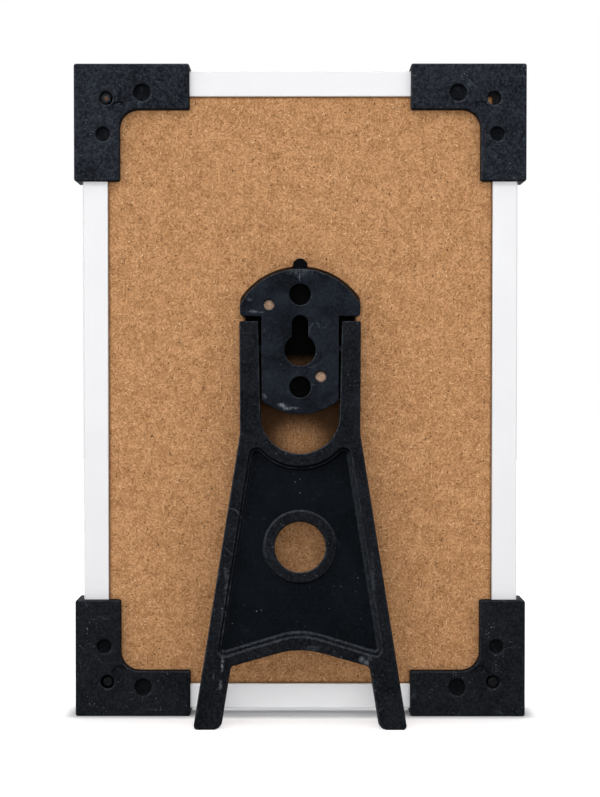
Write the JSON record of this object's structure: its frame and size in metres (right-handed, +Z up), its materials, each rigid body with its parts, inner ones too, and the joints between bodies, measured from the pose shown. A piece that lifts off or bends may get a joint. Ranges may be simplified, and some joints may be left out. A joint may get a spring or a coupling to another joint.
{
  "type": "photo frame",
  "caption": "Photo frame with white edge strips, black corner caps, a hardboard back and a hinged easel leg; its bracket also hangs on a screw or nail.",
  "frame": {"origin": "on the table, midway across the frame and midway between its picture side and the back of its feet", "axes": "+Z up along the frame, +X to the right as seen from the picture side's back, -Y the picture side, +Y the stand side"},
  "size_m": [0.112, 0.0272, 0.162],
  "materials": {
    "white_strip": "white extruded plastic, satin",
    "cap_plastic": "black moulded plastic, fine grain, lightly scuffed",
    "key_plastic": "black moulded plastic",
    "stand_plastic": "black moulded plastic, fine grain, lightly scuffed",
    "hardboard": "brown hardboard with short fibres",
    "print_paper": "plain satin paper",
    "clear_glass": "clear",
    "copper_rivet": "dull copper plate"
  },
  "bodies": {
    "frame": {"strip_top": "white_strip", "strip_bottom": "white_strip", "strip_left": "white_strip", "strip_right": "white_strip", "corner_cap_top_left": "cap_plastic", "corner_cap_top_right": "cap_plastic", "corner_cap_bottom_left": "cap_plastic", "corner_cap_bottom_right": "cap_plastic", "corner_key_top_left": "key_plastic", "corner_key_top_right": "key_plastic", "corner_key_bottom_left": "key_plastic", "corner_key_bottom_right": "key_plastic", "backing_board": "hardboard", "photo_print": "print_paper", "glazing": "clear_glass", "stand_bracket": "stand_plastic", "rivet_upper": "copper_rivet", "rivet_lower": "copper_rivet"},
    "leg": {"stand_leg": "stand_plastic"}
  },
  "joints": [
    {"name": "leg_fold", "type": "hinge", "parent": "frame", "child": "leg", "pos_m": [0, -0.00231, 0.091], "axis": [1, 0, 0], "range_deg": [-8.35, 0]}
  ]
}
